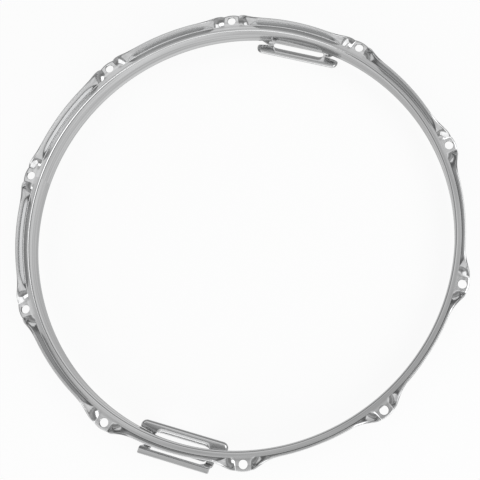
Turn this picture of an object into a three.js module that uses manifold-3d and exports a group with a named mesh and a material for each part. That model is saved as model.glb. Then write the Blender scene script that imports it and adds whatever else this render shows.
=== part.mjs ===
// Snare-side drum hoop for a 14 inch drum: one steel strip flanged three times, with ten ears,
// two snare gates and a pressed guard riveted over each gate.
// Millimetres. Z is the hoop's axis, the ears are at the top, and the part lies on its two guards at z = 0.
import * as THREE from 'three';
import { mergeVertices } from 'three/addons/utils/BufferGeometryUtils.js';
import Module from 'manifold-3d';

const wasm = await Module();
wasm.setup();

// Hoop
const hoopSheet = 1.6;
const neckInnerRadius = 178.8;
const neckFlare = 1.9;
const neckHeight = 23.1;
const rimFlangeWidth = 6.5;
const rimBendRadius = 1.8;
const shelfWidth = 2.4;
const shelfBendRadius = 1.45;
const skirtReach = 12.1;

// Ears, counted round the hoop; each is folded up into the skirt on both sides
const earCount = 10;
const earHoleRadius = 3.6;
const earHoleReach = 5.55;
const earReach = 11;
const earNoseRadius = 21;
const earFlatHalfWidth = 6;
const earFoldRadius = 1.5;
const earRunOut = 34;

// Snare gates, one at each end of the snares
const gateCount = 2;
const gateWidth = 48;
const gateDepth = 11.3;
const gateCornerRadius = 4;

// Snare guards, from the bar inside the hoop to the bar outside it
const guardSheet = 2;
const guardDrop = 8.4;
const innerBarOverhang = 7;
const innerBarWidth = 7.6;
const innerBarLength = 77;
const innerBarCornerRadius = 5;
const slotWidth = 4.7;
const wallClearance = 4.2;
const wallBendRadius = 4;
const legWidth = 6.5;
const legCornerRadius = 3;
const outerBarHeight = 15.8;
const outerBarDepth = 3.9;
const outerBarBendRadius = 2;

// Feet of the guards, bent up to lie under the rim flange
const footRiseInset = 1.5;
const footRiseLength = 5;
const footFlatLength = 12;
const footWidth = 3.8;
const footRelief = 0.8;

// Rivets, two in each foot
const rivetShankRadius = 1;
const rivetHeadRadius = 1.7;
const rivetHeadHeight = 1;
const rivetTailRadius = 1.5;
const rivetTailHeight = 0.8;
const rivetEndDistance = 2.2;
const rivetSpacing = 5.4;

// Fits and cuts
const fitGap = 0.3;
const cutOverrun = 5;

// Places round the hoop and along its section
const quarterTurn = Math.PI / 2;
const pitch = (2 * Math.PI) / earCount;
const rimBottom = guardSheet + guardDrop;
const rimTop = rimBottom + hoopSheet;
const rimMid = rimBottom + hoopSheet / 2;
const neckTopRadius = neckInnerRadius + hoopSheet / 2;
const neckFootRadius = neckTopRadius + neckFlare;
const rimFlangeRadius = neckInnerRadius + neckFlare + rimFlangeWidth;
const shelfMid = rimBottom + neckHeight - hoopSheet / 2;
const shelfStart = neckTopRadius + shelfBendRadius;
const flapStart = shelfStart + shelfWidth;
const earHoleCircleRadius = flapStart + earHoleReach;
const earHalfPitch = (earHoleCircleRadius * pitch) / 2;

// Places on a guard, measured from the hoop's axis
const innerBarEdge = neckInnerRadius - innerBarOverhang;
const slotInnerEdge = innerBarEdge + innerBarWidth;
const slotOuterEdge = slotInnerEdge + slotWidth;
const wallInnerFace = rimFlangeRadius + wallClearance;
const wallMid = wallInnerFace + guardSheet / 2;
const wallBendStart = wallMid - wallBendRadius;
const outerBarEdge = wallInnerFace + guardSheet + outerBarDepth;

// Places on a guard, measured sideways from its middle
const outerBarLength = gateWidth + 2 * legWidth;
const footRiseStart = outerBarLength / 2 - footRiseInset;
const footRiseEnd = footRiseStart + footRiseLength;
const footEnd = footRiseEnd + footFlatLength;
const rivetCircleRadius = rimFlangeRadius - footWidth / 2;

// Counts that set how finely the shapes are faceted
const rimBendSteps = 2;
const shelfBendSteps = 2;
const flapBendSteps = 3;
const flapSteps = 2;
const holeSides = 28;
const cornerSteps = 5;
const wallBendSteps = 5;
const rivetSides = 16;
const domeSteps = 3;

const chrome = new THREE.MeshStandardMaterial({ color: 0xd4d6d8, roughness: 0.08, metalness: 1 });
const guardChrome = new THREE.MeshStandardMaterial({ color: 0xcdd0d3, roughness: 0.1, metalness: 1 });
const rivetSteel = new THREE.MeshStandardMaterial({ color: 0xb9bcc0, roughness: 0.2, metalness: 1 });

// A closed three.js geometry as a solid that can be joined and cut
function solidFrom(geometry) {
  const bare = geometry.index ? geometry.toNonIndexed() : geometry.clone();
  bare.deleteAttribute('normal');
  bare.deleteAttribute('uv');
  const merged = mergeVertices(bare);
  return new wasm.Manifold(
    new wasm.Mesh({
      numProp: 3,
      vertProperties: new Float32Array(merged.attributes.position.array),
      triVerts: new Uint32Array(merged.index.array),
    }),
  );
}

// A solid as a three.js mesh under its own name
function meshFrom(solid, name, material) {
  const result = solid.getMesh();
  const geometry = new THREE.BufferGeometry();
  geometry.setAttribute('position', new THREE.BufferAttribute(result.vertProperties, result.numProp));
  geometry.setIndex(new THREE.BufferAttribute(result.triVerts, 1));
  geometry.computeVertexNormals();
  const mesh = new THREE.Mesh(geometry, material);
  mesh.name = name;
  return mesh;
}

// How far an ear's flap is folded up from flat, in radians, at a distance along the hole circle
function flapAngle(distance) {
  const past = Math.max(distance - earFlatHalfWidth, 0);
  const eased = (past * past) / (past + earFoldRadius);
  const whole = earRunOut - earFlatHalfWidth;
  const wholeEased = (whole * whole) / (whole + earFoldRadius);
  const left = Math.max(1 - eased / wholeEased, 0);
  return quarterTurn * (1 - left ** 3);
}

// How far the flap reaches past the shelf: the ear's rounded nose, or the skirt where it stands up
function flapReach(distance, angle) {
  const nose = earReach - distance ** 2 / (2 * earNoseRadius);
  const share = angle / quarterTurn;
  return THREE.MathUtils.lerp(Math.max(nose, 0), skirtReach, share);
}

// Points [radius, height] along an arc round a centre, both ends included
function arcPoints(centre, radius, from, to, steps) {
  return Array.from({ length: steps + 1 }, (_, i) => {
    const angle = THREE.MathUtils.lerp(from, to, i / steps);
    return [centre[0] + radius * Math.cos(angle), centre[1] + radius * Math.sin(angle)];
  });
}

// A point of the flap at a distance along its sheet: round the bend, then straight on
function flapPoint(angle, along) {
  const turned = Math.min(along / shelfBendRadius, angle);
  const straight = along - turned * shelfBendRadius;
  return [
    flapStart + shelfBendRadius * Math.sin(turned) + straight * Math.cos(turned),
    shelfMid + shelfBendRadius - shelfBendRadius * Math.cos(turned) + straight * Math.sin(turned),
  ];
}

// The middle of the hoop's sheet: in along the rim flange, up the neck, over the shelf and out along the flap
function hoopSection(distance) {
  const angle = flapAngle(distance);
  const reach = flapReach(distance, angle);
  const bendLength = quarterTurn * shelfBendRadius;
  const rimCentre = [neckFootRadius + rimBendRadius, rimMid + rimBendRadius];
  const neckCentre = [shelfStart, shelfMid - shelfBendRadius];
  const rim = arcPoints(rimCentre, rimBendRadius, 3 * quarterTurn, 2 * quarterTurn, rimBendSteps);
  const neck = arcPoints(neckCentre, shelfBendRadius, 2 * quarterTurn, quarterTurn, shelfBendSteps);
  const bendLengths = Array.from({ length: flapBendSteps }, (_, i) => (bendLength * (i + 1)) / flapBendSteps);
  const flapLengths = Array.from({ length: flapSteps }, (_, i) =>
    THREE.MathUtils.lerp(bendLength, reach, (i + 1) / flapSteps),
  );
  const flap = [0, ...bendLengths, ...flapLengths].map((along) => flapPoint(angle, along));
  return [[rimFlangeRadius, rimMid], ...rim, ...neck, ...flap];
}

// Distances from an ear's centre at which the hoop has a section, closest where the ear folds
function sectionDistances() {
  const flat = earFlatHalfWidth;
  const foldShares = [0, 0.05, 0.12, 0.22, 0.34, 0.5, 0.72, 1];
  const folds = foldShares.map((share) => THREE.MathUtils.lerp(flat, earRunOut, share));
  return [...folds, (earRunOut + earHalfPitch) / 2];
}

// Every section round the hoop as an angle and a distance from its nearest ear
function hoopStations() {
  const side = sectionDistances();
  const whole = [...side.map((d) => -d).reverse(), 0, ...side, earHalfPitch];
  const stations = [];
  for (let ear = 0; ear < earCount; ear++) {
    for (const distance of whole) {
      stations.push({ angle: ear * pitch + distance / earHoleCircleRadius, distance: Math.abs(distance) });
    }
  }
  return stations;
}

// A sheet of even thickness round a closed ring of mid-surface points
function ringSheet(rows, thickness) {
  const rowCount = rows.length;
  const pointCount = rows[0].length;
  const at = (row, point) => rows[(row + rowCount) % rowCount][THREE.MathUtils.clamp(point, 0, pointCount - 1)];
  const sides = [[], []];
  for (let row = 0; row < rowCount; row++) {
    for (let point = 0; point < pointCount; point++) {
      const along = at(row + 1, point).clone().sub(at(row - 1, point));
      const across = at(row, point + 1).clone().sub(at(row, point - 1));
      const normal = along.cross(across).normalize();
      sides[0].push(at(row, point).clone().addScaledVector(normal, thickness / 2));
      sides[1].push(at(row, point).clone().addScaledVector(normal, -thickness / 2));
    }
  }
  const sideSize = rowCount * pointCount;
  const index = [];
  const quad = (a, b, c, d) => index.push(a, b, c, a, c, d);
  for (let row = 0; row < rowCount; row++) {
    const here = row * pointCount;
    const next = ((row + 1) % rowCount) * pointCount;
    for (let point = 0; point < pointCount - 1; point++) {
      quad(here + point, next + point, next + point + 1, here + point + 1);
      const inner = sideSize + point;
      quad(inner + here, inner + here + 1, inner + next + 1, inner + next);
    }
    const end = pointCount - 1;
    quad(here, sideSize + here, sideSize + next, next);
    quad(here + end, next + end, sideSize + next + end, sideSize + here + end);
  }
  const geometry = new THREE.BufferGeometry().setFromPoints([...sides[0], ...sides[1]]);
  geometry.setIndex(index);
  return geometry;
}

// A rectangle with rounded corners, centred on x, from one y to another
function roundedShape(width, from, to, radius) {
  const shape = new THREE.Shape();
  const side = width / 2 - radius;
  shape.absarc(side, from + radius, radius, -quarterTurn, 0, false);
  shape.absarc(side, to - radius, radius, 0, quarterTurn, false);
  shape.absarc(-side, to - radius, radius, quarterTurn, 2 * quarterTurn, false);
  shape.absarc(-side, from + radius, radius, 2 * quarterTurn, 3 * quarterTurn, false);
  shape.closePath();
  return shape;
}

// A long hole with round ends, centred on x, from one y to another
function slotShape(length, from, to) {
  const shape = new THREE.Shape();
  const radius = (to - from) / 2;
  const side = length / 2 - radius;
  shape.absarc(side, from + radius, radius, -quarterTurn, quarterTurn, false);
  shape.absarc(-side, from + radius, radius, quarterTurn, 3 * quarterTurn, false);
  shape.closePath();
  return shape;
}

// A shape in x and y as a plate between two heights
function plateSolid(shape, bottom, top) {
  const geometry = new THREE.ExtrudeGeometry(shape, {
    depth: top - bottom,
    bevelEnabled: false,
    curveSegments: cornerSteps,
  });
  geometry.translate(0, 0, bottom);
  return solidFrom(geometry);
}

// A shape in x and z as a block between two distances from the axis
function radialSolid(shape, near, far) {
  const geometry = new THREE.ExtrudeGeometry(shape, {
    depth: far - near,
    bevelEnabled: false,
    curveSegments: cornerSteps,
  });
  geometry.rotateX(quarterTurn);
  geometry.translate(0, far, 0);
  return solidFrom(geometry);
}

// A shape in y and z as a bar of a given length, centred on x
function tangentSolid(shape, length) {
  const geometry = new THREE.ExtrudeGeometry(shape, { depth: length, bevelEnabled: false });
  geometry.rotateX(quarterTurn);
  geometry.rotateZ(quarterTurn);
  geometry.translate(-length / 2, 0, 0);
  return solidFrom(geometry);
}

// A strip of even thickness along a line of points, as an outline
function stripShape(middle, thickness) {
  const left = [];
  const right = [];
  middle.forEach((point, i) => {
    const before = middle[Math.max(i - 1, 0)];
    const after = middle[Math.min(i + 1, middle.length - 1)];
    const first = new THREE.Vector2(point[0] - before[0], point[1] - before[1]).normalize();
    const second = new THREE.Vector2(after[0] - point[0], after[1] - point[1]).normalize();
    const heading = first.clone().add(second).normalize();
    const known = i === 0 ? second : first;
    const reach = thickness / 2 / Math.max(heading.dot(known), Number.EPSILON);
    left.push(new THREE.Vector2(point[0] - heading.y * reach, point[1] + heading.x * reach));
    right.push(new THREE.Vector2(point[0] + heading.y * reach, point[1] - heading.x * reach));
  });
  return new THREE.Shape([...left, ...right.reverse()]);
}

// One snare gate: a notch with rounded corners, up from the rim flange's edge into the neck
function gateCutter() {
  const top = rimBottom + gateDepth;
  const shape = roundedShape(gateWidth, rimBottom - cutOverrun, top, gateCornerRadius);
  return radialSolid(shape, neckInnerRadius - cutOverrun, rimFlangeRadius + cutOverrun);
}

function earHoleCutter() {
  const depth = hoopSheet + 2 * cutOverrun;
  const halfSide = Math.PI / holeSides;
  const geometry = new THREE.CylinderGeometry(earHoleRadius, earHoleRadius, depth, holeSides, 1, false, halfSide);
  geometry.rotateX(quarterTurn);
  geometry.translate(earHoleCircleRadius, 0, shelfMid);
  return solidFrom(geometry);
}

// Where the rivets of one guard stand, as angles from the middle of the gate
function rivetAngles() {
  const outer = (footEnd - rivetEndDistance) / rivetCircleRadius;
  const inner = outer - rivetSpacing / rivetCircleRadius;
  return [-outer, -inner, inner, outer];
}

function rivetHoleCutter(angle) {
  const depth = rimTop + cutOverrun;
  const radius = rivetShankRadius + fitGap;
  const geometry = new THREE.CylinderGeometry(radius, radius, depth, rivetSides);
  geometry.rotateX(quarterTurn);
  geometry.translate(0, rivetCircleRadius, depth / 2);
  geometry.rotateZ(angle);
  return solidFrom(geometry);
}

function degrees(radians) {
  return THREE.MathUtils.radToDeg(radians);
}

function hoop() {
  const rows = hoopStations().map(({ angle, distance }) =>
    hoopSection(distance).map(
      ([radius, height]) => new THREE.Vector3(radius * Math.cos(angle), radius * Math.sin(angle), height),
    ),
  );
  let solid = solidFrom(ringSheet(rows, hoopSheet));
  const hole = earHoleCutter();
  for (let ear = 0; ear < earCount; ear++) {
    solid = solid.subtract(hole.rotate([0, 0, degrees(ear * pitch)]));
  }
  const gate = gateCutter();
  const rivetHoles = rivetAngles().map(rivetHoleCutter);
  for (let side = 0; side < gateCount; side++) {
    const turn = [0, 0, degrees((side * 2 * Math.PI) / gateCount)];
    solid = solid.subtract(gate.rotate(turn));
    for (const rivetHole of rivetHoles) {
      solid = solid.subtract(rivetHole.rotate(turn));
    }
  }
  return meshFrom(solid, 'hoop', chrome);
}

// The guard's flat plate below the rim, cut away where its feet bend up beside it
function guardPlate() {
  const outline = roundedShape(innerBarLength, innerBarEdge, slotOuterEdge, innerBarCornerRadius);
  const reliefInner = rimFlangeRadius - footWidth - footRelief;
  const relief = ringSector(reliefInner, outerBarEdge, footRiseStart, innerBarLength / 2 + cutOverrun);
  const plate = plateSolid(outline, 0, guardSheet);
  const cutter = plateSolid(relief, -cutOverrun, guardSheet + cutOverrun);
  return plate.subtract(cutter).subtract(cutter.mirror([1, 0, 0]));
}

function guardSlot() {
  return plateSolid(slotShape(gateWidth, slotInnerEdge, slotOuterEdge), -cutOverrun, guardSheet + cutOverrun);
}

// The web between the slot and the outer wall, with a tongue where the wall has its window
function guardWeb() {
  const outline = roundedShape(2 * footRiseStart, slotInnerEdge, wallBendStart, legCornerRadius);
  const tongue = roundedShape(gateWidth - 2 * fitGap, slotInnerEdge, wallInnerFace, legCornerRadius);
  return plateSolid(outline, 0, guardSheet).add(plateSolid(tongue, 0, guardSheet));
}

// The middle of the sheet that bends up from the plate and ends in a flat bar facing outwards
function guardWallMiddle() {
  const low = guardSheet / 2;
  const high = outerBarHeight - guardSheet / 2;
  const lowCentre = [wallBendStart, low + wallBendRadius];
  const highCentre = [wallMid + outerBarBendRadius, high - outerBarBendRadius];
  const lower = arcPoints(lowCentre, wallBendRadius, -quarterTurn, 0, wallBendSteps);
  const upper = arcPoints(highCentre, outerBarBendRadius, 2 * quarterTurn, quarterTurn, wallBendSteps);
  return [[slotOuterEdge, low], ...lower, ...upper, [outerBarEdge, high]];
}

// The guard's outer wall: two legs and the bar across them, with a window as wide as the gate
function guardWall() {
  const wall = tangentSolid(stripShape(guardWallMiddle(), guardSheet), outerBarLength);
  const window = roundedShape(gateWidth, -cutOverrun, outerBarHeight - guardSheet, legCornerRadius);
  return wall.subtract(radialSolid(window, wallBendStart, outerBarEdge + cutOverrun));
}

// A piece of a ring round the axis, between two radii and two distances sideways
function ringSector(inner, outer, near, far) {
  const from = Math.acos(far / rivetCircleRadius);
  const to = Math.acos(near / rivetCircleRadius);
  const sector = new THREE.Shape();
  sector.absarc(0, 0, outer, from, to, false);
  sector.absarc(0, 0, inner, to, from, true);
  sector.closePath();
  return sector;
}

// One foot of the guard: the sheet rises from the web and lies flat under the rim flange
function guardFoot() {
  const low = guardSheet / 2;
  const high = rimBottom - fitGap - guardSheet / 2;
  const root = gateWidth / 2;
  const middle = [
    [root, low],
    [footRiseStart, low],
    [footRiseEnd, high],
    [footEnd + cutOverrun, high],
  ];
  const strip = stripShape(middle, guardSheet);
  const bent = radialSolid(strip, innerBarEdge - cutOverrun, outerBarEdge + cutOverrun);
  const plan = ringSector(rimFlangeRadius - footWidth, rimFlangeRadius, root, footEnd);
  return bent.intersect(plateSolid(plan, -cutOverrun, shelfMid));
}

function snareGuard(name, turn) {
  const foot = guardFoot();
  let solid = guardPlate().add(guardWeb()).add(guardWall()).add(foot).add(foot.mirror([1, 0, 0]));
  solid = solid.subtract(guardSlot());
  for (const rivetHole of rivetAngles().map(rivetHoleCutter)) {
    solid = solid.subtract(rivetHole);
  }
  const mesh = meshFrom(solid, name, guardChrome);
  mesh.rotation.z = turn;
  return mesh;
}

// A solid rivet: a domed head under the foot, a shank and a formed tail above the rim flange
function rivet(name, angle) {
  const headTop = rimBottom - guardSheet - 2 * fitGap;
  const tailBottom = rimTop + fitGap;
  const head = domePoints(rivetHeadRadius, headTop, -rivetHeadHeight);
  const tail = domePoints(rivetTailRadius, tailBottom, rivetTailHeight).reverse();
  const profile = [
    ...head,
    new THREE.Vector2(rivetShankRadius, headTop),
    new THREE.Vector2(rivetShankRadius, tailBottom),
    ...tail,
  ];
  const geometry = new THREE.LatheGeometry(profile, rivetSides);
  geometry.rotateX(quarterTurn);
  const mesh = meshFrom(solidFrom(geometry), name, rivetSteel);
  mesh.position.set(-rivetCircleRadius * Math.sin(angle), rivetCircleRadius * Math.cos(angle), 0);
  return mesh;
}

// Half the outline of a dome, from its crown on the axis to its rim
function domePoints(radius, base, height) {
  return Array.from({ length: domeSteps + 1 }, (_, i) => {
    const angle = (quarterTurn * i) / domeSteps;
    return new THREE.Vector2(radius * Math.sin(angle), base + height * Math.cos(angle));
  });
}

const model = new THREE.Group();
model.add(hoop());
const gateNames = ['north', 'south'];
gateNames.forEach((gateName, side) => {
  const turn = (side * 2 * Math.PI) / gateCount;
  model.add(snareGuard('snare_guard_' + gateName, turn));
  rivetAngles().forEach((angle, i) => {
    model.add(rivet('guard_rivet_' + gateName + '_' + (i + 1), turn + angle));
  });
});

export default model;
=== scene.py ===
import math

import bpy
import numpy as np
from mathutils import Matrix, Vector
from mathutils.geometry import delaunay_2d_cdt


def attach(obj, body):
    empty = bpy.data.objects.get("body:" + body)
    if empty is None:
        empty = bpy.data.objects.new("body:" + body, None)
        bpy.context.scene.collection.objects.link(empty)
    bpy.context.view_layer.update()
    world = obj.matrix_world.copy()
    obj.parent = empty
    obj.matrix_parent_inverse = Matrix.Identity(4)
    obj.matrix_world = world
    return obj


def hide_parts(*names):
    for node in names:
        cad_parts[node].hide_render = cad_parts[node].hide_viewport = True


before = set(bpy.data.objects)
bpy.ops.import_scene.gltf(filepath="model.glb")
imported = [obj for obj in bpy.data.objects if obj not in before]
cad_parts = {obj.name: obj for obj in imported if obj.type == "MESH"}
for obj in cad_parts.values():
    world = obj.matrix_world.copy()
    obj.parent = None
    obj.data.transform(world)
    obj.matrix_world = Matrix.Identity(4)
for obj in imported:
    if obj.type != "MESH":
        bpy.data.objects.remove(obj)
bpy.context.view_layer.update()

# Hoop, in metres
hoop_sheet = 0.0016
neck_inner_radius = 0.1788
neck_flare = 0.0019
neck_height = 0.0231
rim_flange_width = 0.0065
rim_bend_radius = 0.0018
shelf_width = 0.0024
shelf_bend_radius = 0.00145
skirt_reach = 0.0121
hoop_edge_round = 0.0004

# Ears, folded up into the skirt on both sides
ear_count = 10
ear_hole_radius = 0.0036
ear_hole_reach = 0.00555
ear_hole_chamfer = 0.0003
ear_reach = 0.011
ear_nose_radius = 0.021
ear_flat_half_width = 0.006
ear_fold_radius = 0.0015
ear_run_out = 0.034

# Snare gates
gate_count = 2
gate_width = 0.048
gate_depth = 0.0113
gate_corner_radius = 0.004

# Snare guards
guard_sheet = 0.002
guard_drop = 0.0084
guard_edge_round = 0.00028
inner_bar_overhang = 0.007
inner_bar_width = 0.0076
inner_bar_length = 0.077
inner_bar_corner_radius = 0.005
inner_bar_back_radius = 0.0012
inner_bar_roll = 0.0013
inner_bar_front = 0.0024
inner_bar_back = 0.004
slot_width = 0.0047
wall_clearance = 0.0042
wall_bend_radius = 0.004
leg_width = 0.0065
leg_corner_radius = 0.003
leg_foot_radius = 0.0009
tongue_corner_radius = 0.0026
outer_bar_height = 0.0158
outer_bar_depth = 0.0039
outer_bar_bend_radius = 0.002
outer_bar_corner_radius = 0.0012
foot_rise_inset = 0.0015
foot_rise_length = 0.005
foot_flat_length = 0.012
foot_width = 0.0038
foot_bend_radius = 0.0018
foot_corner_radius = 0.0015
relief_width = 0.0008

# Rivets
rivet_shank_radius = 0.001
rivet_head_radius = 0.0017
rivet_head_height = 0.001
rivet_tail_radius = 0.0015
rivet_tail_height = 0.0008
rivet_end_distance = 0.0022
rivet_spacing = 0.0054

# Fits and cuts
fit_gap = 0.0003
cut_overrun = 0.005
weld_distance = 0.000002
probe_step = 0.00002
straight_enough = 0.0001
smooth_angle = math.radians(40)

# Places that follow
quarter_turn = math.pi / 2
full_turn = 2 * math.pi
rim_bottom = guard_sheet + guard_drop
rim_top = rim_bottom + hoop_sheet
rim_mid = rim_bottom + hoop_sheet / 2
neck_top_radius = neck_inner_radius + hoop_sheet / 2
neck_foot_radius = neck_top_radius + neck_flare
rim_flange_radius = neck_inner_radius + neck_flare + rim_flange_width
shelf_mid = rim_bottom + neck_height - hoop_sheet / 2
flap_start = neck_top_radius + shelf_bend_radius + shelf_width
ear_hole_circle = flap_start + ear_hole_reach
ear_pitch = full_turn * ear_hole_circle / ear_count
inner_bar_edge = neck_inner_radius - inner_bar_overhang
slot_inner_edge = inner_bar_edge + inner_bar_width
slot_outer_edge = slot_inner_edge + slot_width
wall_inner_face = rim_flange_radius + wall_clearance
wall_mid = wall_inner_face + guard_sheet / 2
wall_bend_start = wall_mid - wall_bend_radius
outer_bar_edge = wall_inner_face + guard_sheet + outer_bar_depth
outer_bar_half = gate_width / 2 + leg_width
foot_rise_start = outer_bar_half - foot_rise_inset
foot_rise_end = foot_rise_start + foot_rise_length
foot_end = foot_rise_end + foot_flat_length
rivet_circle = rim_flange_radius - foot_width / 2

# How finely the surfaces are divided
half_pitch_steps = 40
flange_steps = 2
rim_bend_steps = 6
neck_steps = 7
shelf_steps = 1
shelf_bend_steps = 6
flap_steps = 6
edge_segments = 3
corner_segments = 7
bend_cuts = 8
foot_steps = 8
relief_steps = 5
roll_cuts = 7
end_cuts = 12
hole_sides = 64
rivet_sides = 40
dome_steps = 8
search_steps = 40


# Scene helpers

def deselect_all():
    if bpy.context.object and bpy.context.object.mode != "OBJECT":
        bpy.ops.object.mode_set(mode="OBJECT")
    bpy.ops.object.select_all(action="DESELECT")


def choose(piece):
    deselect_all()
    piece.select_set(True)
    bpy.context.view_layer.objects.active = piece


def edit(piece, mode="VERT"):
    choose(piece)
    bpy.ops.object.mode_set(mode="EDIT")
    bpy.ops.mesh.select_mode(type=mode)


def leave_edit():
    bpy.ops.object.mode_set(mode="OBJECT")


def apply_modifier(piece, kind, **settings):
    choose(piece)
    modifier = piece.modifiers.new(kind.lower(), kind)
    for key, value in settings.items():
        setattr(modifier, key, value)
    bpy.ops.object.modifier_apply(modifier=modifier.name)


def points_of(piece):
    flat = np.empty(len(piece.data.vertices) * 3)
    piece.data.vertices.foreach_get("co", flat)
    return flat.reshape(-1, 3)


def move_points(piece, points):
    piece.data.vertices.foreach_set("co", np.ascontiguousarray(points).ravel())
    piece.data.update()


def turned(piece, angle):
    """Turns a piece's mesh about the hoop's axis."""
    x, y, z = points_of(piece).T
    cos, sin = math.cos(angle), math.sin(angle)
    move_points(piece, np.stack([x * cos - y * sin, x * sin + y * cos, z], axis=1))
    return piece


def copied(piece, name):
    twin = piece.copy()
    twin.data = piece.data.copy()
    twin.name = name
    bpy.context.collection.objects.link(twin)
    return twin


def cut_by(piece, cutters):
    """Takes the cutters out of a piece and removes them."""
    deselect_all()
    for cutter in cutters:
        cutter.select_set(True)
    bpy.context.view_layer.objects.active = cutters[0]
    if len(cutters) > 1:
        bpy.ops.object.join()
    joined = cutters[0]
    apply_modifier(piece, "BOOLEAN", operation="DIFFERENCE", solver="EXACT", object=joined)
    bpy.data.objects.remove(joined)


def lathe(name, profile, sides):
    """Spins a line of (radius, height) points about the Z axis into a closed solid."""
    mesh = bpy.data.meshes.new(name)
    mesh.from_pydata([(r, 0, z) for r, z in profile], [(i, i + 1) for i in range(len(profile) - 1)], [])
    piece = bpy.data.objects.new(name, mesh)
    bpy.context.collection.objects.link(piece)
    edit(piece)
    bpy.ops.mesh.select_all(action="SELECT")
    bpy.ops.mesh.spin(steps=sides, angle=full_turn, center=(0, 0, 0), axis=(0, 0, 1))
    bpy.ops.mesh.select_all(action="SELECT")
    bpy.ops.mesh.remove_doubles(threshold=weld_distance)
    bpy.ops.mesh.normals_make_consistent(inside=False)
    leave_edit()
    return piece


def prism(name, outline, low, high):
    """Extrudes a closed outline in x and y from one height to another."""
    mesh = bpy.data.meshes.new(name)
    mesh.from_pydata([(x, y, low) for x, y in outline], [], [list(range(len(outline)))])
    piece = bpy.data.objects.new(name, mesh)
    bpy.context.collection.objects.link(piece)
    edit(piece, "FACE")
    bpy.ops.mesh.select_all(action="SELECT")
    bpy.ops.mesh.extrude_region_move(TRANSFORM_OT_translate={"value": (0, 0, high - low)})
    bpy.ops.mesh.select_all(action="SELECT")
    bpy.ops.mesh.normals_make_consistent(inside=False)
    leave_edit()
    return piece


def rounded_outline(corners, segments=corner_segments):
    """A closed outline through (x, y, radius) corners, each one rounded off by its radius."""
    points = []
    count = len(corners)
    for i, (x, y, radius) in enumerate(corners):
        here = Vector((x, y))
        before = (Vector(corners[i - 1][:2]) - here).normalized()
        after = (Vector(corners[(i + 1) % count][:2]) - here).normalized()
        opening = before.angle(after)
        if radius == 0 or abs(opening - math.pi) < straight_enough:
            points.append((x, y))
            continue
        reach = radius / math.tan(opening / 2)
        centre = here + (before + after).normalized() * (radius / math.sin(opening / 2))
        start = here + before * reach - centre
        end = here + after * reach - centre
        sweep = math.atan2(start.x * end.y - start.y * end.x, start.dot(end))
        for step in range(segments + 1):
            angle = sweep * step / segments
            cos, sin = math.cos(angle), math.sin(angle)
            points.append((centre.x + start.x * cos - start.y * sin,
                           centre.y + start.x * sin + start.y * cos))
    return points


def box_corners(half_width, low, high, radius):
    return [
        (half_width, low, radius),
        (half_width, high, radius),
        (-half_width, high, radius),
        (-half_width, low, radius),
    ]


# The hoop: a flat strip rolled into a ring along its pressed section

def flap_angle(distance):
    """How far the flap is folded up from flat, at a distance from an ear's centre."""
    past = np.maximum(distance - ear_flat_half_width, 0)
    risen = past**2 / (past + ear_fold_radius)
    whole = ear_run_out - ear_flat_half_width
    whole_risen = whole**2 / (whole + ear_fold_radius)
    return quarter_turn * (1 - np.maximum(1 - risen / whole_risen, 0) ** 3)


def eased(share):
    """A share that starts and ends gently."""
    return share**2 * (3 - 2 * share)


def flap_reach(distance, angle):
    """How far the flap reaches past its bend: the ear's nose, or the skirt where it stands up."""
    nose = np.maximum(ear_reach - distance**2 / (2 * ear_nose_radius), 0)
    return nose + (skirt_reach - nose) * angle / quarter_turn


def hoop_middle(along, up):
    """The sheet's middle, at a distance round the hole circle and one up the strip from the skirt's bend."""
    turn = along / ear_hole_circle
    distance = np.abs((along + ear_pitch / 2) % ear_pitch - ear_pitch / 2)
    fold = flap_angle(distance)
    flap = np.maximum(up, 0) * flap_reach(distance, fold) / skirt_reach
    folded = np.minimum(flap / shelf_bend_radius, fold)
    straight = flap - folded * shelf_bend_radius
    flap_radius = shelf_bend_radius * np.sin(folded) + straight * np.cos(folded)
    flap_height = shelf_bend_radius * (1 - np.cos(folded)) + straight * np.sin(folded)
    shelf = np.clip(-up, 0, shelf_width)
    down = np.maximum(-up - shelf_width, 0)
    corner = np.minimum(down / shelf_bend_radius, quarter_turn)
    neck = np.clip(down - shelf_bend_length, 0, neck_length)
    flare = neck_flare * eased(neck / neck_length)
    rim = np.clip(down - shelf_bend_length - neck_length, 0, rim_bend_length) / rim_bend_radius
    flange = np.maximum(down - shelf_bend_length - neck_length - rim_bend_length, 0)
    below_radius = flare + rim_bend_radius * (1 - np.cos(rim)) + flange - shelf_bend_radius * np.sin(corner)
    below_height = shelf_bend_radius * (1 - np.cos(corner)) + neck + rim_bend_radius * np.sin(rim)
    radius = flap_start - shelf + flap_radius + below_radius
    height = shelf_mid + flap_height - below_height
    return np.stack([radius * np.cos(turn), radius * np.sin(turn), height], axis=1)


shelf_bend_length = quarter_turn * shelf_bend_radius
rim_bend_length = quarter_turn * rim_bend_radius
neck_length = shelf_mid - shelf_bend_radius - rim_mid - rim_bend_radius
flange_length = rim_flange_radius - neck_foot_radius - rim_bend_radius


def hoop_rows():
    """Distances across the strip, from the rim flange's edge to the flap's edge."""
    neck_end = -shelf_width - shelf_bend_length
    neck_start = neck_end - neck_length
    flange_end = neck_start - rim_bend_length
    stretches = [
        (flange_end - flange_length, flange_end, flange_steps),
        (flange_end, neck_start, rim_bend_steps),
        (neck_start, neck_end, neck_steps),
        (neck_end, -shelf_width, shelf_bend_steps),
        (-shelf_width, 0, shelf_steps),
        (0, shelf_bend_length, shelf_bend_steps),
        (shelf_bend_length, skirt_reach, flap_steps),
    ]
    rows = [stretches[0][0]]
    for start, end, steps in stretches:
        rows.extend(np.linspace(start, end, steps + 1)[1:])
    return rows


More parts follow.
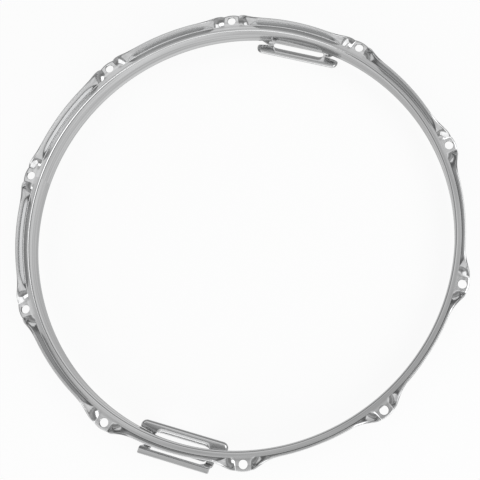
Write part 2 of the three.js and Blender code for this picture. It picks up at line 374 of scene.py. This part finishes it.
def hoop_columns():
    """Distances along the strip, closest together where the ears fold up."""
    near_share = 0.35
    share = np.linspace(0, 1, half_pitch_steps + 1)
    side = ear_pitch / 2 * (near_share * share + (1 - near_share) * share**3)
    pitch = np.concatenate([side, ear_pitch - side[-2:0:-1]])
    return np.concatenate([*[pitch + ear * ear_pitch for ear in range(ear_count)], [ear_count * ear_pitch]])


def flat_strip(name, columns, rows):
    deselect_all()
    bpy.ops.mesh.primitive_grid_add(x_subdivisions=len(columns) - 1, y_subdivisions=len(rows) - 1, size=2)
    strip = bpy.context.object
    strip.name = name
    points = points_of(strip)
    points[:, 0] = np.interp(points[:, 0], np.linspace(-1, 1, len(columns)), columns)
    points[:, 1] = np.interp(points[:, 1], np.linspace(-1, 1, len(rows)), rows)
    move_points(strip, points)
    return strip


def select_long_edges(strip, rows):
    """Selects the sheet's four long edges, two at each side of the strip."""
    points = points_of(strip)
    up = points[:, 1]
    at_side = (np.abs(up - rows[0]) < weld_distance) | (np.abs(up - rows[-1]) < weld_distance)
    for edge in strip.data.edges:
        a, b = edge.vertices
        level = abs(points[a, 2] - points[b, 2]) < weld_distance
        edge.select = bool(at_side[a] and at_side[b] and level and points[a, 0] != points[b, 0])


def remove_strip_ends(strip, length):
    points = points_of(strip)
    end = (points[:, 0] < weld_distance) | (points[:, 0] > length - weld_distance)
    for face in strip.data.polygons:
        face.select = all(end[v] for v in face.vertices)
    edit(strip, "FACE")
    bpy.ops.mesh.delete(type="ONLY_FACE")
    leave_edit()


def clear_selection(piece):
    for group in (piece.data.vertices, piece.data.edges, piece.data.polygons):
        group.foreach_set("select", np.zeros(len(group), dtype=bool))


def roll_strip(strip):
    points = points_of(strip)
    along, up, offset = points.T
    middle = hoop_middle(along, up)
    ahead = hoop_middle(along + probe_step, up) - hoop_middle(along - probe_step, up)
    across = hoop_middle(along, up + probe_step) - hoop_middle(along, up - probe_step)
    normal = np.cross(ahead, across)
    normal /= np.linalg.norm(normal, axis=1, keepdims=True)
    move_points(strip, middle + normal * offset[:, None])
    edit(strip)
    bpy.ops.mesh.select_all(action="SELECT")
    bpy.ops.mesh.remove_doubles(threshold=weld_distance)
    leave_edit()


def ear_hole_cutter(angle):
    half = hoop_sheet / 2
    past = half + ear_hole_chamfer
    profile = [
        (0, -past),
        (ear_hole_radius + 2 * ear_hole_chamfer, -past),
        (ear_hole_radius, -half + ear_hole_chamfer),
        (ear_hole_radius, half - ear_hole_chamfer),
        (ear_hole_radius + 2 * ear_hole_chamfer, past),
        (0, past),
    ]
    cutter = lathe("ear_hole_cutter", profile, hole_sides)
    move_points(cutter, points_of(cutter) + (ear_hole_circle, 0, shelf_mid))
    return turned(cutter, angle)


def gate_cutter(angle):
    outline = rounded_outline(
        box_corners(gate_width / 2, rim_bottom - cut_overrun, rim_bottom + gate_depth, gate_corner_radius))
    near, far = neck_inner_radius - cut_overrun, rim_flange_radius + cut_overrun
    cutter = prism("gate_cutter", outline, near, far)
    x, z, y = points_of(cutter).T
    move_points(cutter, np.stack([-x, y, z], axis=1))
    return turned(cutter, angle)


def rivet_hole_cutter(angle):
    radius = rivet_shank_radius + fit_gap
    profile = [(0, 0), (radius, 0), (radius, rim_top + cut_overrun), (0, rim_top + cut_overrun)]
    cutter = lathe("rivet_hole_cutter", profile, rivet_sides)
    move_points(cutter, points_of(cutter) + (0, rivet_circle, 0))
    return turned(cutter, angle)


def rivet_angles():
    outer = (foot_end - rivet_end_distance) / rivet_circle
    inner = outer - rivet_spacing / rivet_circle
    return [-outer, -inner, inner, outer]


def make_hoop():
    rows, columns = hoop_rows(), hoop_columns()
    hoop = flat_strip("hoop_plated", columns, rows)
    apply_modifier(hoop, "SOLIDIFY", thickness=hoop_sheet, offset=0)
    clear_selection(hoop)
    select_long_edges(hoop, rows)
    edit(hoop, "EDGE")
    bpy.ops.mesh.bevel(offset=hoop_edge_round, segments=edge_segments, affect="EDGES", clamp_overlap=False)
    leave_edit()
    clear_selection(hoop)
    remove_strip_ends(hoop, columns[-1])
    roll_strip(hoop)
    cutters = [ear_hole_cutter(ear * full_turn / ear_count) for ear in range(ear_count)]
    for side in range(gate_count):
        turn = side * full_turn / gate_count
        cutters.append(gate_cutter(turn))
        cutters += [rivet_hole_cutter(turn + angle) for angle in rivet_angles()]
    cut_by(hoop, cutters)
    return hoop


# The snare guards: a punched blank folded up along its bend lines

def fold_path(corners, radius):
    """Straight stretches and arcs along (place, height) corners, as (start, length, place, heading, bend)."""
    stretches = []
    start = 0
    place = Vector(corners[0])
    for i in range(1, len(corners)):
        here = Vector(corners[i])
        heading = (here - place).normalized()
        if i == len(corners) - 1:
            stretches.append((start, (here - place).length, place, heading, 0))
            break
        onward = (Vector(corners[i + 1]) - here).normalized()
        bend = math.atan2(heading.x * onward.y - heading.y * onward.x, heading.dot(onward))
        reach = radius * math.tan(abs(bend) / 2)
        arc_start = here - heading * reach
        stretches.append((start, (arc_start - place).length, place, heading, 0))
        start += (arc_start - place).length
        stretches.append((start, radius * abs(bend), arc_start, heading, bend))
        start += radius * abs(bend)
        place = here + onward * reach
    return stretches


def on_path(stretches, along):
    """The place, height and heading of the folded sheet's middle at a distance along the flat blank."""
    for start, length, place, heading, bend in reversed(stretches):
        if along >= start:
            break
    past = along - start
    if bend == 0:
        return place + heading * past, heading
    turn = bend * past / length
    radius = length / abs(bend)
    side = math.copysign(1, bend)
    normal = Vector((-heading.y, heading.x)) * side
    now = Vector((heading.x * math.cos(turn) - heading.y * math.sin(turn),
                  heading.x * math.sin(turn) + heading.y * math.cos(turn)))
    return place + heading * radius * math.sin(abs(turn)) + normal * radius * (1 - math.cos(turn)), now


def path_length(stretches):
    return stretches[-1][0] + stretches[-1][1]


def bend_lines(stretches):
    """Distances along the blank at which it is divided so that it can bend."""
    lines = []
    for start, length, _, _, bend in stretches:
        if bend:
            lines += [start + length * i / bend_cuts for i in range(bend_cuts + 1)]
    return lines


def wall_path():
    """From the wall's bend up the legs and out into the bar, measured outwards from the hoop's axis."""
    low, high = guard_sheet / 2, outer_bar_height - guard_sheet / 2
    lower = fold_path([(slot_outer_edge, low), (wall_mid, low), (wall_mid, high)], wall_bend_radius)[:2]
    upper_start = lower[-1][0] + lower[-1][1]
    rise = fold_path([(wall_mid, low + wall_bend_radius), (wall_mid, high), (outer_bar_edge, high)],
                     outer_bar_bend_radius)
    return lower + [(upper_start + start, *rest) for start, *rest in rise]


def foot_path():
    """From the gate's side out to the foot's end, measured sideways from the guard's middle."""
    low, high = guard_sheet / 2, rim_bottom - fit_gap - guard_sheet / 2
    corners = [(0, low), (foot_rise_start, low), (foot_rise_end, high), (foot_end, high)]
    return fold_path(corners, foot_bend_radius)


def foot_distance(path, sideways):
    """How far along the flat blank a foot's point lies that ends up at a distance sideways."""
    low, high = 0, path_length(path)
    for _ in range(search_steps):
        middle = (low + high) / 2
        if on_path(path, middle)[0].x < sideways:
            low = middle
        else:
            high = middle
    return low


def guard_half_outline():
    """Corners (x, y, radius) of the blank's right half, from the outer bar round to the inner bar."""
    feet = foot_path()
    bar_end = slot_outer_edge + path_length(wall_path())
    foot_outer, foot_inner = rim_flange_radius, rim_flange_radius - foot_width
    relief = foot_inner - relief_width
    notch_side = foot_rise_start - foot_bend_radius
    notch_round = relief_width / 3

    def arc(radius, start, end):
        places = np.linspace(start, end, foot_steps + 1)
        return [(foot_distance(feet, x), math.sqrt(radius**2 - x**2), 0) for x in places]

    outer_arc = arc(foot_outer, notch_side, foot_end)
    inner_arc = arc(foot_inner, foot_end, notch_side)
    relief_ends = (notch_side, inner_bar_length / 2)
    relief_arc = [(x, math.sqrt(relief**2 - x**2), 0) for x in np.linspace(*relief_ends, relief_steps + 1)]
    outer_arc[-1] = (*outer_arc[-1][:2], foot_corner_radius)
    inner_arc[0] = (*inner_arc[0][:2], foot_corner_radius)
    inner_arc[-1] = (*inner_arc[-1][:2], notch_round)
    relief_arc[0] = (*relief_arc[0][:2], notch_round)
    relief_arc[-1] = (*relief_arc[-1][:2], inner_bar_back_radius)
    outer_arc[0] = (*outer_arc[0][:2], notch_round)
    leg_foot = wall_bend_start + relief_width / 2
    return [
        (outer_bar_half, bar_end, outer_bar_corner_radius),
        (outer_bar_half, leg_foot, leg_foot_radius),
        (notch_side, leg_foot, notch_round),
        *outer_arc,
        *inner_arc,
        *relief_arc,
        (inner_bar_length / 2, inner_bar_edge, inner_bar_corner_radius),
    ]


def foot_hole(angle):
    """A rivet's hole in the flat blank."""
    radius = rivet_shank_radius + fit_gap
    sideways = foot_distance(foot_path(), rivet_circle * abs(math.sin(angle)))
    centre = (math.copysign(sideways, angle), rivet_circle * math.cos(angle))
    turns = [full_turn * i / rivet_sides for i in range(rivet_sides)]
    return [(centre[0] + radius * math.cos(turn), centre[1] + radius * math.sin(turn)) for turn in turns]


def slot_outline():
    """The slot between the bar and the web, with half-round ends."""
    radius = slot_width / 2
    end = gate_width / 2 - radius
    middle = (slot_inner_edge + slot_outer_edge) / 2
    turns = [math.pi * i / (2 * corner_segments) for i in range(2 * corner_segments + 1)]
    right = [(end + radius * math.sin(turn), middle - radius * math.cos(turn)) for turn in turns]
    left = [(-end - radius * math.sin(turn), middle + radius * math.cos(turn)) for turn in turns]
    return right + left


def window_outline():
    """The opening under the outer bar, with the two slits that free the web's front from the legs."""
    tongue_half = gate_width / 2 - fit_gap
    walls = wall_path()
    window_top = slot_outer_edge + walls[3][0] + walls[3][1] / 3
    slit_round = fit_gap / 3
    right = [
        (gate_width / 2, window_top, leg_corner_radius),
        (gate_width / 2, wall_bend_start, slit_round),
        (tongue_half, wall_bend_start, slit_round),
        (tongue_half, wall_inner_face, tongue_corner_radius),
    ]
    return rounded_outline(right + [(-x, y, radius) for x, y, radius in reversed(right)])


def wound(outline, direction):
    """An outline's points in counterclockwise order for direction 1 and clockwise for -1."""
    points = np.array(outline)
    x, y = points.T
    area = (x * np.roll(y, -1) - y * np.roll(x, -1)).sum()
    return points if area * direction > 0 else points[::-1]


def moved_left(points, distance):
    """Moves a closed outline to its left, with its sides kept parallel."""
    ahead = np.roll(points, -1, axis=0) - points
    ahead /= np.linalg.norm(ahead, axis=1, keepdims=True)
    left = np.stack([-ahead[:, 1], ahead[:, 0]], axis=1)
    before = np.roll(left, 1, axis=0)
    return points + distance * (left + before) / (1 + (left * before).sum(axis=1, keepdims=True))


def edge_rows(thickness, edge_round):
    """Heights and insets of the rows of points up a sheet's rounded edge."""
    turns = [quarter_turn * i / edge_segments for i in range(edge_segments + 1)]
    flat = thickness / 2 - edge_round
    upper = [(flat + edge_round * math.sin(turn), edge_round * (1 - math.cos(turn))) for turn in turns]
    return [(-height, inset) for height, inset in reversed(upper)] + upper


def triangles_within(points, sides):
    """Triangles that fill closed outlines and leave the holes in them open."""
    flat = np.array(points)[:, :2]
    starts, ends = flat[[i for i, _ in sides]], flat[[j for _, j in sides]]
    _, _, triangles, sources, *_ = delaunay_2d_cdt([Vector(place) for place in flat], sides, [], 0, 0)
    kept = []
    for triangle in triangles:
        corners = [sources[i][0] for i in triangle]
        x, y = flat[corners].mean(axis=0)
        crossed = (starts[:, 1] > y) != (ends[:, 1] > y)
        rise = np.where(crossed, ends[:, 1] - starts[:, 1], 1)
        meeting = starts[:, 0] + (ends[:, 0] - starts[:, 0]) * (y - starts[:, 1]) / rise
        if (crossed & (meeting > x)).sum() % 2 == 1:
            kept.append(corners)
    return kept


def sheet_blank(name, outlines, thickness, edge_round):
    """A flat sheet with rounded edges, cut to closed outlines: the first its edge, the others holes."""
    rows = edge_rows(thickness, edge_round)
    loops = [wound(outline, 1 if i == 0 else -1) for i, outline in enumerate(outlines)]
    starts = np.cumsum([0] + [len(loop) for loop in loops])
    row_size = int(starts[-1])
    points, faces = [], []
    for height, inset in rows:
        for loop in loops:
            points += [(x, y, height) for x, y in moved_left(loop, inset)]
    sides = []
    for start, end in zip(starts[:-1], starts[1:]):
        sides += [(int(i), int(i + 1) if i + 1 < end else int(start)) for i in range(start, end)]
    for row in range(len(rows) - 1):
        low, high = row * row_size, (row + 1) * row_size
        faces += [(low + i, low + j, high + j, high + i) for i, j in sides]
    for row in (0, len(rows) - 1):
        base = row * row_size
        triangles = triangles_within(points[base:base + row_size], sides)
        faces += [[base + i for i in corners] for corners in triangles]
    mesh = bpy.data.meshes.new(name)
    mesh.from_pydata(points, [], faces)
    blank = bpy.data.objects.new(name, mesh)
    bpy.context.collection.objects.link(blank)
    edit(blank)
    bpy.ops.mesh.select_all(action="SELECT")
    bpy.ops.mesh.normals_make_consistent(inside=False)
    leave_edit()
    return blank


def guard_blank(name):
    half = guard_half_outline()
    edge = rounded_outline(half + [(-x, y, radius) for x, y, radius in reversed(half)])
    holes = [foot_hole(angle) for angle in rivet_angles()]
    return sheet_blank(name, [edge, slot_outline(), window_outline(), *holes], guard_sheet, guard_edge_round)


def roll_bar(piece):
    """Rolls the top of the inner bar down at its free edge and along the slot, so that the bar is crowned."""
    points = points_of(piece)
    x, y, offset = points.T
    past_end = np.abs(x) - (inner_bar_length / 2 - inner_bar_corner_radius)
    past_edge = inner_bar_edge + inner_bar_corner_radius - y
    outside = np.hypot(np.maximum(past_end, 0), np.maximum(past_edge, 0)) - inner_bar_corner_radius
    inside = -(outside + np.minimum(np.maximum(past_end, past_edge), 0))
    front = np.clip(1 - inside / inner_bar_front, 0, 1) ** 2
    back = np.clip(1 - (slot_inner_edge - y) / inner_bar_back, 0, 1) ** 1.5
    fade = 1 - eased(np.clip((np.abs(x) - gate_width / 2 + slot_width) / slot_width, 0, 1))
    on_plate = np.hypot(x, y) < rim_flange_radius - foot_width - relief_width / 2
    above = (offset + guard_sheet / 2) / guard_sheet
    share = np.maximum(front, np.where(y < slot_inner_edge + weld_distance, back * fade, 0))
    points[:, 2] -= np.where(on_plate, inner_bar_roll * share * above, 0)
    move_points(piece, points)


def divide(piece, place, direction):
    edit(piece, "FACE")
    bpy.ops.mesh.select_all(action="SELECT")
    bpy.ops.mesh.bisect(plane_co=place, plane_no=direction, threshold=weld_distance / 10)
    leave_edit()


def fold_guard(piece):
    feet, walls = foot_path(), wall_path()
    tongue_half = gate_width / 2 - fit_gap / 2
    relief_middle = rim_flange_radius - foot_width - relief_width / 2
    folded = []
    for x, y, offset in points_of(piece):
        in_wall = y > wall_bend_start - weld_distance and abs(x) > tongue_half
        if in_wall or y > wall_inner_face + weld_distance:
            middle, heading = on_path(walls, y - slot_outer_edge)
            folded.append((x, middle.x - heading.y * offset, middle.y + heading.x * offset))
            continue
        middle, heading = on_path(feet, abs(x))
        if math.hypot(middle.x, y) > relief_middle:
            x = math.copysign(middle.x - heading.y * offset, x)
            folded.append((x, y, middle.y + heading.x * offset))
        else:
            folded.append((x, y, guard_sheet / 2 + offset))
    move_points(piece, np.array(folded))


def make_guard(name):
    guard = guard_blank(name)
    for cut in range(roll_cuts + 1):
        divide(guard, (0, inner_bar_edge + inner_bar_front * cut / roll_cuts, 0), (0, 1, 0))
        divide(guard, (0, slot_inner_edge - inner_bar_back * cut / roll_cuts, 0), (0, 1, 0))
    for side in (1, -1):
        for cut in range(relief_steps + 1):
            divide(guard, (side * (gate_width / 2 - slot_width * cut / relief_steps), 0, 0), (1, 0, 0))
    for cut in range(end_cuts + 1):
        place = inner_bar_length / 2 - inner_bar_corner_radius * cut / end_cuts
        for side in (1, -1):
            divide(guard, (side * place, 0, 0), (1, 0, 0))
    roll_bar(guard)
    for line in bend_lines(foot_path()):
        for side in (1, -1):
            divide(guard, (side * line, 0, 0), (1, 0, 0))
    for line in bend_lines(wall_path()):
        divide(guard, (0, slot_outer_edge + line, 0), (0, 1, 0))
    fold_guard(guard)
    return guard


# The rivets

def dome(radius, base, height):
    angles = [quarter_turn * i / dome_steps for i in range(dome_steps + 1)]
    return [(radius * math.sin(angle), base + height * math.cos(angle)) for angle in angles]


def make_rivet(name, angle):
    head_top = rim_bottom - guard_sheet - 2 * fit_gap
    tail_bottom = rim_top + fit_gap
    profile = [
        *dome(rivet_head_radius, head_top, -rivet_head_height),
        (rivet_shank_radius, head_top),
        (rivet_shank_radius, tail_bottom),
        *reversed(dome(rivet_tail_radius, tail_bottom, rivet_tail_height)),
    ]
    rivet = lathe(name, profile, rivet_sides)
    move_points(rivet, points_of(rivet) + (0, rivet_circle, 0))
    return turned(rivet, angle)


# Materials

# Colours and roughness of the plating
hoop_tint = (0.64, 0.643, 0.646)
guard_tint = (0.63, 0.633, 0.636)
rivet_tint = (0.5, 0.502, 0.504)
sheet_roughness = 0.12
rivet_roughness = 0.2

# How little the lines that the rolling and the pressing left drift along the metal
line_drift = 0.004

# How many clouds, bands and scratches lie in a metre, and how deep and how strong the scratches are
clouds_per_metre = 60
bands_per_metre = 380
scratches_per_metre = 1000
scratch_depth = 0.00001
scratch_share = 0.3

# How far the roughness drifts, how dark the bands get and what a glancing view gives back
roughness_drift_share = 0.7
darker_share = 0.74
glancing_share = 0.62
band_low_share = 0.35
band_high_share = 0.65


def lines_round_hoop(nodes, links, coordinates):
    """Coordinates that change across the section and hardly round the hoop."""
    split = nodes.new("ShaderNodeSeparateXYZ")
    links.new(coordinates.outputs["Object"], split.inputs["Vector"])
    flat = nodes.new("ShaderNodeCombineXYZ")
    links.new(split.outputs["X"], flat.inputs["X"])
    links.new(split.outputs["Y"], flat.inputs["Y"])
    radius = nodes.new("ShaderNodeVectorMath")
    radius.operation = "LENGTH"
    links.new(flat.outputs["Vector"], radius.inputs[0])
    around = nodes.new("ShaderNodeMath")
    around.operation = "ARCTAN2"
    links.new(split.outputs["Y"], around.inputs[0])
    links.new(split.outputs["X"], around.inputs[1])
    slow = nodes.new("ShaderNodeMath")
    slow.operation = "MULTIPLY"
    slow.inputs[1].default_value = line_drift
    links.new(around.outputs["Value"], slow.inputs[0])
    lines = nodes.new("ShaderNodeCombineXYZ")
    links.new(radius.outputs["Value"], lines.inputs["X"])
    links.new(slow.outputs["Value"], lines.inputs["Y"])
    links.new(split.outputs["Z"], lines.inputs["Z"])
    return lines.outputs["Vector"]


def lines_along_guard(nodes, links, coordinates):
    """Coordinates that change across a guard and hardly along its bars."""
    squeeze = nodes.new("ShaderNodeVectorMath")
    squeeze.operation = "MULTIPLY"
    squeeze.inputs[1].default_value = (line_drift, 1, 1)
    links.new(coordinates.outputs["Object"], squeeze.inputs[0])
    return squeeze.outputs["Vector"]


def noise(nodes, links, place, scale, detail):
    texture = nodes.new("ShaderNodeTexNoise")
    texture.inputs["Scale"].default_value = scale
    texture.inputs["Detail"].default_value = detail
    links.new(place, texture.inputs["Vector"])
    return texture.outputs["Fac"]


def plated_metal(name, tint, roughness, lines_on):
    """Polished plating with faint lines along the metal and a slow drift in its roughness."""
    material = bpy.data.materials.new(name)
    material.use_nodes = True
    nodes, links = material.node_tree.nodes, material.node_tree.links
    shader = nodes["Principled BSDF"]
    shader.inputs["Metallic"].default_value = 1
    shader.inputs["Specular Tint"].default_value = (glancing_share, glancing_share, glancing_share, 1)
    coordinates = nodes.new("ShaderNodeTexCoord")
    lines = lines_on(nodes, links, coordinates)

    drift = nodes.new("ShaderNodeMapRange")
    drift.inputs["To Min"].default_value = roughness * roughness_drift_share
    drift.inputs["To Max"].default_value = roughness / roughness_drift_share
    clouds = noise(nodes, links, coordinates.outputs["Object"], clouds_per_metre, detail=4)
    links.new(clouds, drift.inputs["Value"])
    links.new(drift.outputs["Result"], shader.inputs["Roughness"])

    bands = nodes.new("ShaderNodeMapRange")
    bands.inputs["From Min"].default_value = band_low_share
    bands.inputs["From Max"].default_value = band_high_share
    links.new(noise(nodes, links, lines, bands_per_metre, detail=2), bands.inputs["Value"])
    colour = nodes.new("ShaderNodeMix")
    colour.data_type = "RGBA"
    colour.inputs["A"].default_value = (*[channel * darker_share for channel in tint], 1)
    colour.inputs["B"].default_value = (*tint, 1)
    links.new(bands.outputs["Result"], colour.inputs["Factor"])
    links.new(colour.outputs["Result"], shader.inputs["Base Color"])

    bump = nodes.new("ShaderNodeBump")
    bump.inputs["Strength"].default_value = scratch_share
    bump.inputs["Distance"].default_value = scratch_depth
    links.new(noise(nodes, links, lines, scratches_per_metre, detail=3), bump.inputs["Height"])
    links.new(bump.outputs["Normal"], shader.inputs["Normal"])
    return material


def dress(piece, material, slot, *nodes):
    """Gives a piece its metal and puts it in the place of nodes of the solid part."""
    piece.data.materials.clear()
    piece.data.materials.append(material)
    choose(piece)
    bpy.ops.object.shade_smooth_by_angle(angle=smooth_angle)
    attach(piece, "root")
    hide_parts(*nodes)


# The studio

# Camera at the photo's view: place in metres, turns in degrees, lens and sensor in millimetres
camera_place = (0.13397, -0.10091, 0.57639)
camera_turns = (11.919, 4.886, 15.380)
camera_sensor = 36
camera_lens = 51
camera_shift_shares = (-0.1333, 0.0146)
camera_near = 0.01

# Floor of pale paper, just under the part
floor_size = 12
floor_drop = 0.0005
paper_shade = (0.85, 0.85, 0.85, 1)
paper_roughness = 0.9
paper_glow_share = 0.9
white = (1, 1, 1, 1)

# Brightness overhead, and its shares by the height of the direction looked in, from level to straight up
sky_strength = 1.22
sky_shares = [(0, 0.4), (0.2, 0.44), (0.45, 0.26), (0.66, 0.32), (0.84, 0.85), (0.96, 0.6), (1, 0.5)]

# Lamps: name, place and size in metres, power in watts
lamps = [
    ("side_light", (0.84, 0.15, 1.36), (1.8, 0.8), 7),
    ("front_light", (0.3, -1.5, 0.9), (2.8, 1.1), 12),
]


def make_camera():
    data = bpy.data.cameras.new("camera")
    camera = bpy.data.objects.new("camera", data)
    bpy.context.collection.objects.link(camera)
    camera.location = camera_place
    camera.rotation_euler = [math.radians(turn) for turn in camera_turns]
    data.sensor_width = camera_sensor
    data.lens = camera_lens
    data.shift_x, data.shift_y = camera_shift_shares
    data.clip_start = camera_near
    bpy.context.scene.camera = camera


def make_floor():
    deselect_all()
    bpy.ops.mesh.primitive_plane_add(size=floor_size, location=(0, 0, -floor_drop))
    floor = bpy.context.object
    floor.name = "studio_floor"
    material = bpy.data.materials.new("studio_paper")
    material.use_nodes = True
    nodes, links = material.node_tree.nodes, material.node_tree.links
    paper = nodes["Principled BSDF"]
    paper.inputs["Base Color"].default_value = paper_shade
    paper.inputs["Roughness"].default_value = paper_roughness
    glow = nodes.new("ShaderNodeEmission")
    glow.inputs["Color"].default_value = white
    seen = nodes.new("ShaderNodeLightPath")
    any_view = nodes.new("ShaderNodeMath")
    any_view.operation = "MAXIMUM"
    links.new(seen.outputs["Is Camera Ray"], any_view.inputs[0])
    links.new(seen.outputs["Is Glossy Ray"], any_view.inputs[1])
    share = nodes.new("ShaderNodeMath")
    share.operation = "MULTIPLY"
    share.inputs[1].default_value = paper_glow_share
    links.new(any_view.outputs["Value"], share.inputs[0])
    mix = nodes.new("ShaderNodeMixShader")
    links.new(share.outputs["Value"], mix.inputs[0])
    links.new(paper.outputs["BSDF"], mix.inputs[1])
    links.new(glow.outputs["Emission"], mix.inputs[2])
    links.new(mix.outputs["Shader"], nodes["Material Output"].inputs["Surface"])
    floor.data.materials.append(material)


def make_world():
    """A soft light overhead that fades to a darker band and lifts again lower down, white to the camera."""
    world = bpy.data.worlds.new("studio_world")
    bpy.context.scene.world = world
    world.use_nodes = True
    nodes, links = world.node_tree.nodes, world.node_tree.links
    coordinates = nodes.new("ShaderNodeTexCoord")
    split = nodes.new("ShaderNodeSeparateXYZ")
    links.new(coordinates.outputs["Generated"], split.inputs["Vector"])
    sky = nodes.new("ShaderNodeValToRGB")
    sky.color_ramp.interpolation = "EASE"
    stops = sky.color_ramp.elements
    while len(stops) < len(sky_shares):
        stops.new(1)
    for stop, (height, share) in zip(stops, sky_shares):
        stop.position = height
        stop.color = (share, share, share, 1)
    links.new(split.outputs["Z"], sky.inputs["Fac"])
    strength = nodes.new("ShaderNodeMath")
    strength.operation = "MULTIPLY"
    strength.inputs[1].default_value = sky_strength
    links.new(sky.outputs["Color"], strength.inputs[0])
    seen = nodes.new("ShaderNodeLightPath")
    shown = nodes.new("ShaderNodeMath")
    shown.operation = "MAXIMUM"
    links.new(strength.outputs["Value"], shown.inputs[0])
    links.new(seen.outputs["Is Camera Ray"], shown.inputs[1])
    background = nodes["Background"]
    background.inputs["Color"].default_value = white
    links.new(shown.outputs["Value"], background.inputs["Strength"])


def soft_light(name, place, size, power):
    data = bpy.data.lights.new(name, "AREA")
    data.shape = "RECTANGLE"
    data.size, data.size_y = size
    data.energy = power
    lamp = bpy.data.objects.new(name, data)
    bpy.context.collection.objects.link(lamp)
    lamp.location = place
    lamp.rotation_euler = (-Vector(place)).to_track_quat("-Z", "Y").to_euler()


hoop_chrome = plated_metal("hoop_chrome", hoop_tint, sheet_roughness, lines_round_hoop)
guard_chrome = plated_metal("guard_chrome", guard_tint, sheet_roughness, lines_along_guard)
rivet_plate = plated_metal("rivet_plate", rivet_tint, rivet_roughness, lines_along_guard)

hoop = make_hoop()
dress(hoop, hoop_chrome, "hoop_chrome", "hoop")

guard_master = make_guard("guard_master")
for side, gate_name in enumerate(("north", "south")):
    turn = side * full_turn / gate_count
    guard = turned(copied(guard_master, "guard_" + gate_name + "_plated"), turn)
    apply_modifier(guard, "WEIGHTED_NORMAL", keep_sharp=True)
    dress(guard, guard_chrome, "guard_chrome", "snare_guard_" + gate_name)
    for number, angle in enumerate(rivet_angles(), start=1):
        rivet = make_rivet(f"rivet_{gate_name}_{number}_plated", turn + angle)
        dress(rivet, rivet_plate, "rivet_steel", f"guard_rivet_{gate_name}_{number}")
bpy.data.objects.remove(guard_master)

make_camera()
make_floor()
make_world()
for lamp_name, place, size, power in lamps:
    soft_light(lamp_name, place, size, power)

scene = bpy.context.scene
scene.view_settings.view_transform = "Standard"
